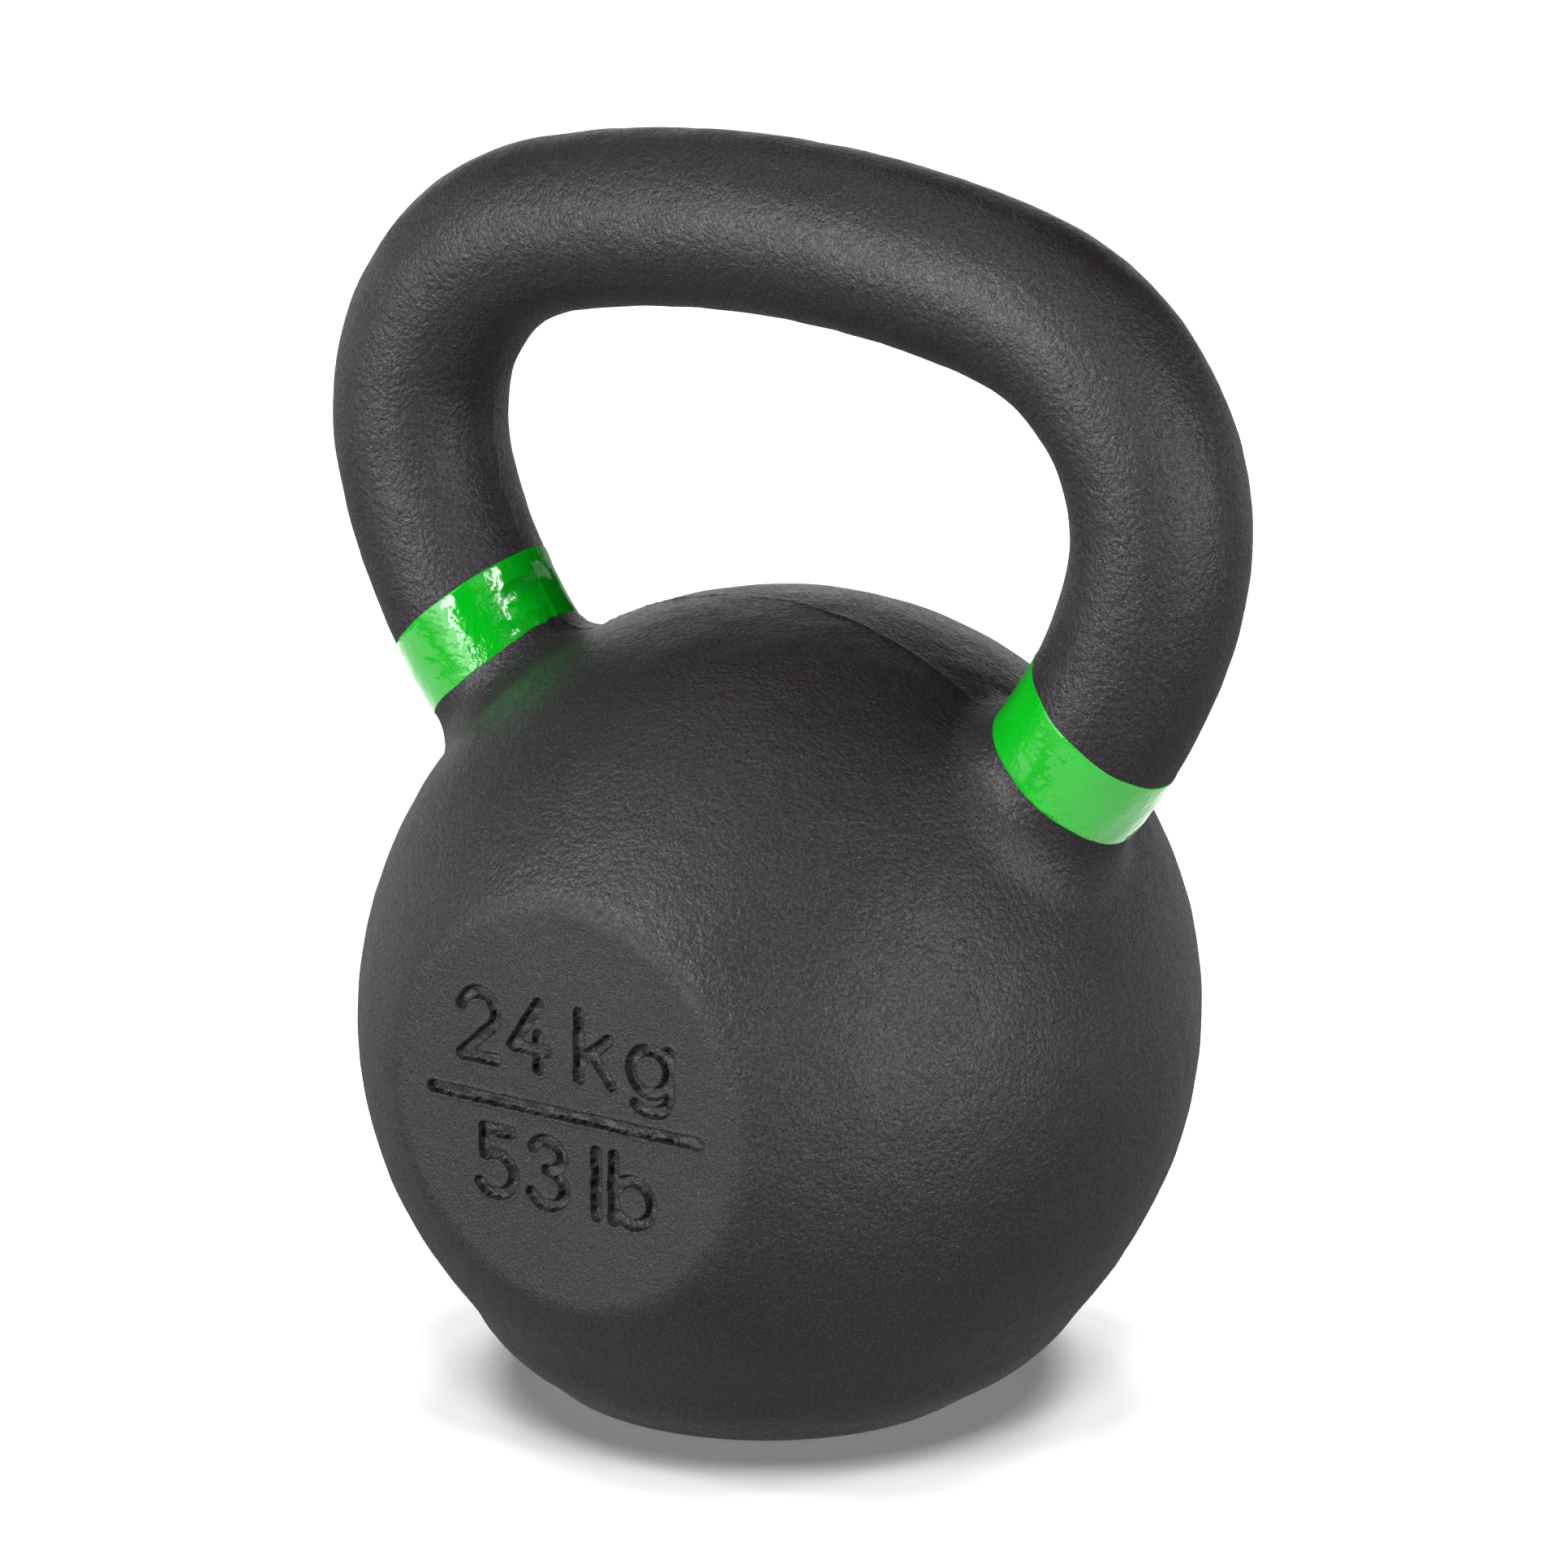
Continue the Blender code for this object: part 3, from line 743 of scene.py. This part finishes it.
def powder_coat():
    """Black powder coat on a sand casting: wrinkles, sandy grain on the flat faces, a few pits, and
    painted shade on the groove walls of the mark.
    """
    nodes = Nodes("powder_coated_iron")
    place, shader = nodes.place, nodes.shader

    grain = nodes.noise(1900.0, 2.0, 0.6)
    wrinkles = nodes.noise(900.0, 3.0, 0.55)
    dimples = nodes.noise(260.0, 2.0, 0.5)
    patches = nodes.noise(30.0, 3.0, 0.5)

    axes = nodes.add("ShaderNodeSeparateXYZ")
    nodes.join(place, axes.inputs[0])
    from_middle = nodes.math("ABSOLUTE", axes.outputs["Y"])
    face = nodes.span(from_middle, HALF_FACE_SPACING - 0.0021, HALF_FACE_SPACING - 0.0009, 0.0, 1.0)

    cells = nodes.add("ShaderNodeTexVoronoi")
    cells.inputs["Scale"].default_value = 330.0
    nodes.join(place, cells.inputs["Vector"])
    chance = nodes.add("ShaderNodeSeparateColor")
    nodes.join(cells.outputs["Color"], chance.inputs[0])
    speck = nodes.span(cells.outputs["Distance"], 0.04, 0.10, 1.0, 0.0)
    speck = nodes.math("MULTIPLY", speck, nodes.span(chance.outputs["Red"], 0.80, 0.84, 0.0, 1.0))
    pit = nodes.span(cells.outputs["Distance"], 0.05, 0.22, 1.0, 0.0)
    pit = nodes.math("MULTIPLY", pit, nodes.span(chance.outputs["Green"], 0.90, 0.93, 0.0, 1.0))

    colour = nodes.mix_colour(nodes.span(patches, 0.35, 0.65, 0.0, 1.0), IRON_DARK, IRON_PALE)
    colour = nodes.mix_colour(nodes.span(grain, 0.30, 0.48, 0.8, 0.0), colour, IRON_GRAIN_DARK)
    colour = nodes.mix_colour(nodes.span(grain, 0.52, 0.72, 0.0, 0.8), colour, IRON_GRAIN_PALE)
    colour = nodes.mix_colour(nodes.math("MULTIPLY", speck, 0.5), colour, IRON_SPECK)
    # Painted shade in the grooves of the mark: the walls are mixed towards near-black and their
    # specular level turned down, in place of the shade that falls in the recess.
    wall = nodes.add("ShaderNodeAttribute", attribute_name="groove_painted_shade").outputs["Fac"]
    clear = nodes.span(wall, 0.1, 0.9, 1.0, 0.12)
    colour = nodes.mix_colour(clear, GROOVE_PAINTED_SHADE_COLOUR, colour)
    nodes.join(colour, shader.inputs["Base Color"])

    rough = nodes.span(wrinkles, 0.35, 0.65, 0.32, 0.46)
    rough = nodes.math("ADD", rough, nodes.math("MULTIPLY", face, 0.14), clamp=True)
    nodes.join(rough, shader.inputs["Roughness"])
    gloss = nodes.math("MULTIPLY", nodes.span(grain, 0.36, 0.64, 0.36, 0.66), clear)
    nodes.join(gloss, shader.inputs["Specular IOR Level"])

    smooth = nodes.span(face, 0.0, 1.0, 1.0, 0.35)
    wrinkle_height = nodes.math("MULTIPLY", wrinkles, smooth)
    depth = nodes.span(patches, 0.35, 0.65, 0.6, 1.0)
    wrinkle_height = nodes.math("MULTIPLY", wrinkle_height, depth)
    grain_height = nodes.math("MULTIPLY", grain, nodes.span(face, 0.0, 1.0, 0.55, 1.0))
    pit_height = nodes.math("MULTIPLY", pit, nodes.span(face, 0.0, 1.0, -1.0, 0.0))
    normal = nodes.bump(dimples, 0.00030, 0.7)
    normal = nodes.bump(wrinkle_height, 0.00050, 1.0, normal)
    normal = nodes.bump(grain_height, 0.00020, 1.0, normal)
    normal = nodes.bump(pit_height, 0.00012, 1.0, normal)
    nodes.join(normal, shader.inputs["Normal"])
    return nodes.material


def gloss_paint():
    """Glossy green over the same skin: its wrinkles break the reflections up."""
    nodes = Nodes("gloss_green")
    shader = nodes.shader
    dimples = nodes.noise(260.0, 2.0, 0.5)
    wrinkles = nodes.noise(800.0, 3.0, 0.5)
    patches = nodes.noise(70.0, 2.0, 0.5)
    colour = nodes.mix_colour(nodes.span(patches, 0.35, 0.65, 0.0, 1.0), GREEN_DEEP, GREEN_PALE)
    nodes.join(colour, shader.inputs["Base Color"])
    nodes.join(nodes.span(wrinkles, 0.3, 0.7, 0.07, 0.13), shader.inputs["Roughness"])
    wrinkle_height = nodes.math("MULTIPLY", wrinkles, nodes.span(patches, 0.40, 0.60, 0.10, 1.0))
    normal = nodes.bump(dimples, 0.00026, 1.0)
    normal = nodes.bump(wrinkle_height, 0.00024, 1.0, normal)
    nodes.join(normal, shader.inputs["Normal"])
    shader.inputs["Specular IOR Level"].default_value = 0.5
    return nodes.material


# --- stage, light and camera ---

def make_floor():
    """A wide pale floor. It is lit from above by lights of its own, and casts no light back."""
    mesh = bpy.data.meshes.new("floor")
    work = bmesh.new()
    bmesh.ops.create_grid(work, x_segments=2, y_segments=2, size=30.0)
    work.to_mesh(mesh)
    work.free()
    floor = bpy.data.objects.new("floor", mesh)
    bpy.context.scene.collection.objects.link(floor)
    floor.location.z = CAD_BOX[0].z - FLOOR_GAP
    floor.visible_diffuse = False
    floor.visible_glossy = False
    floor.visible_shadow = False
    material = bpy.data.materials.new("floor_white")
    material.use_nodes = True
    shader = material.node_tree.nodes["Principled BSDF"]
    shader.inputs["Base Color"].default_value = (0.92, 0.92, 0.92, 1.0)
    shader.inputs["Roughness"].default_value = 0.9
    shader.inputs["Specular IOR Level"].default_value = 0.0
    shader.inputs["Emission Color"].default_value = (1.0, 1.0, 1.0, 1.0)
    shader.inputs["Emission Strength"].default_value = FLOOR_LIFT
    mesh.materials.append(material)
    return floor


def make_world():
    """Soft light from below the horizon, as off a pale table; the camera itself sees white."""
    world = bpy.data.worlds.new("studio")
    bpy.context.scene.world = world
    world.use_nodes = True
    tree = world.node_tree
    place = tree.nodes.new("ShaderNodeTexCoord")
    axes = tree.nodes.new("ShaderNodeSeparateXYZ")
    below = tree.nodes.new("ShaderNodeMapRange")
    near = tree.nodes.new("ShaderNodeMapRange")
    limits = ((below, 0.05, -0.05, 0.0, None), (near, -0.10, -0.50, FLOOR_GLOW, FLOOR_BOUNCE))
    for ramp, *numbers in limits:
        ramp.interpolation_type = "SMOOTHSTEP"
        for socket, number in zip(("From Min", "From Max", "To Min", "To Max"), numbers):
            if number is not None:
                ramp.inputs[socket].default_value = number
    rays = tree.nodes.new("ShaderNodeLightPath")
    strength = tree.nodes.new("ShaderNodeMix")
    strength.inputs["B"].default_value = 1.0
    tree.links.new(place.outputs["Generated"], axes.inputs[0])
    tree.links.new(axes.outputs["Z"], below.inputs["Value"])
    tree.links.new(axes.outputs["Z"], near.inputs["Value"])
    tree.links.new(near.outputs["Result"], below.inputs["To Max"])
    tree.links.new(rays.outputs["Is Camera Ray"], strength.inputs["Factor"])
    tree.links.new(below.outputs["Result"], strength.inputs["A"])
    tree.links.new(strength.outputs["Result"], tree.nodes["Background"].inputs["Strength"])
    tree.nodes["Background"].inputs["Color"].default_value = (1.0, 1.0, 1.0, 1.0)


def soft_box(name, azimuth, elevation, distance, width, height, power, linked):
    """An area light that faces the middle of the object from a direction like a camera's."""
    a, e = math.radians(azimuth), math.radians(elevation)
    back = Vector((math.sin(a) * math.cos(e), -math.cos(a) * math.cos(e), math.sin(e)))
    data = bpy.data.lights.new(name, "AREA")
    data.shape = "RECTANGLE"
    data.size = width
    data.size_y = height
    data.energy = power
    light = bpy.data.objects.new(name, data)
    bpy.context.scene.collection.objects.link(light)
    light.location = Vector((0.0, 0.0, LAMP_AIM_Z)) + back * distance
    light.rotation_euler = back.to_track_quat("Z", "Y").to_euler()
    light.visible_camera = False
    light.light_linking.receiver_collection = linked
    return light


def linked_to(name, objects, state="INCLUDE"):
    """A light-linking collection: the light reaches only these objects, or all but these."""
    linked = bpy.data.collections.new(name)
    for number, item in enumerate(objects):
        linked.objects.link(item)
        linked.collection_objects[number].light_linking.link_state = state
    return linked


def make_lights(floor, casting, bands):
    """Soft boxes left and right of the camera, weak ones above and behind, and the floor's own."""
    pieces = linked_to("lit_by_soft_boxes", [floor], "EXCLUDE")
    iron_only = linked_to("lit_from_behind", [casting])
    bands_only = linked_to("lit_by_table_glow", bands)
    floor_only = linked_to("lit_by_floor_lights", [floor])
    lamps = (  # name, azimuth, elevation, width, height, power, what it lights
        ("left", -21, 16, 1.0, 1.2, 16.5, pieces),
        ("left_wide", -24, 17, 1.9, 1.9, 18.7, pieces),
        ("right", 87, 17, 0.8, 1.5, 10.5, pieces),
        ("right_wide", 70, 11, 1.9, 1.7, 11.3, pieces),
        ("top", 10, 68, 1.6, 1.2, 6.0, pieces),
        ("right_low", 58, -6, 0.7, 0.5, 2.6, iron_only),
        ("top_back", 240, 60, 0.8, 0.6, 2.2, iron_only),
        ("back_right", 160, 8, 0.9, 1.0, 1.4, iron_only),
        ("back", 213, 8, 1.4, 0.8, 3.4, iron_only),
        ("back_left", 262, 10, 1.2, 1.2, 2.2, iron_only),
    )
    for name, azimuth, elevation, width, height, power, linked in lamps:
        soft_box(name, azimuth, elevation, LAMP_DISTANCE, width, height, power, linked)
    for number in range(8):
        azimuth = 11 + 45 * number
        soft_box(f"floor_ring_{number}", azimuth, 60.5, 2.0, 0.40, 0.40, 11.5, floor_only)
    glow = soft_box("table_glow", 0, -89.9, 0.5, 2.4, 2.4, 29.0, bands_only)
    glow.visible_diffuse = False
    for azimuth, elevation in ((74, 33), (1, 7)):
        spark = soft_box(
            f"band_spark_{azimuth}", azimuth, elevation, LAMP_DISTANCE, 0.34, 0.42, 9.0, bands_only)
        spark.visible_diffuse = False


def make_camera():
    a, e = CAMERA_AZIMUTH, CAMERA_ELEVATION
    back = Vector((math.sin(a) * math.cos(e), -math.cos(a) * math.cos(e), math.sin(e)))
    data = bpy.data.cameras.new("camera")
    data.lens = CAMERA_LENS
    data.sensor_width = SENSOR
    data.clip_end = 100.0
    camera = bpy.data.objects.new("camera", data)
    bpy.context.scene.collection.objects.link(camera)
    camera.location = CAMERA_AIM + back * CAMERA_DISTANCE
    camera.rotation_mode = "QUATERNION"
    look = back.to_track_quat("Z", "Y")
    camera.rotation_quaternion = look @ Matrix.Rotation(CAMERA_ROLL, 3, "Z").to_quaternion()
    bpy.context.scene.camera = camera


def main():
    bpy.context.scene.view_settings.view_transform = "Standard"
    floor = make_floor()
    make_world()
    make_camera()
    casting = make_casting(powder_coat())
    green = gloss_paint()
    bands = [
        make_band("band_left_wrap", -1.0, "band_left", green),
        make_band("band_right_wrap", 1.0, "band_right", green),
    ]
    make_lights(floor, casting, bands)


main()
